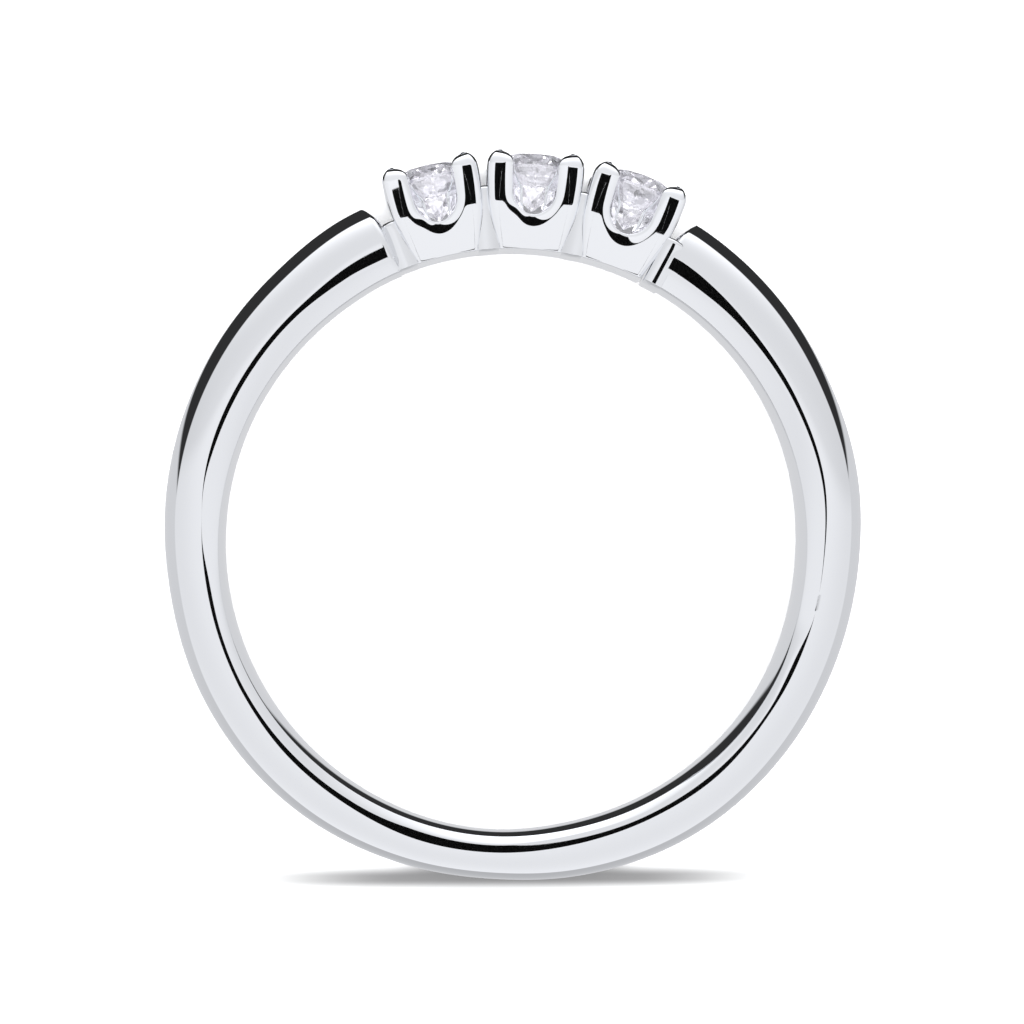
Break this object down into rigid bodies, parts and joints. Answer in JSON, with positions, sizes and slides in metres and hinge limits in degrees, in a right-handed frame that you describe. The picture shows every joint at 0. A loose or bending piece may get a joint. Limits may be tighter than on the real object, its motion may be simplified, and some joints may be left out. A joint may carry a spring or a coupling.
{
  "type": "three stone ring",
  "caption": "Finger ring of polished white metal: a rounded band that grows towards a row of box heads with corner prongs and U windows, each holding a round brilliant.",
  "frame": {"origin": "centre of the finger bore, half way along its width", "axes": "+Z along the finger axis, +Y from the finger to the middle stone, +X to the right-hand stone seen from +Z"},
  "size_m": [0.0206, 0.0214, 0.0028],
  "materials": {
    "white_metal": "mirror polish, rhodium plated",
    "clear_stone": "polished facets"
  },
  "bodies": {
    "root": {"band": "white_metal", "stone_left": "clear_stone", "stone_centre": "clear_stone", "stone_right": "clear_stone"}
  },
  "joints": []
}
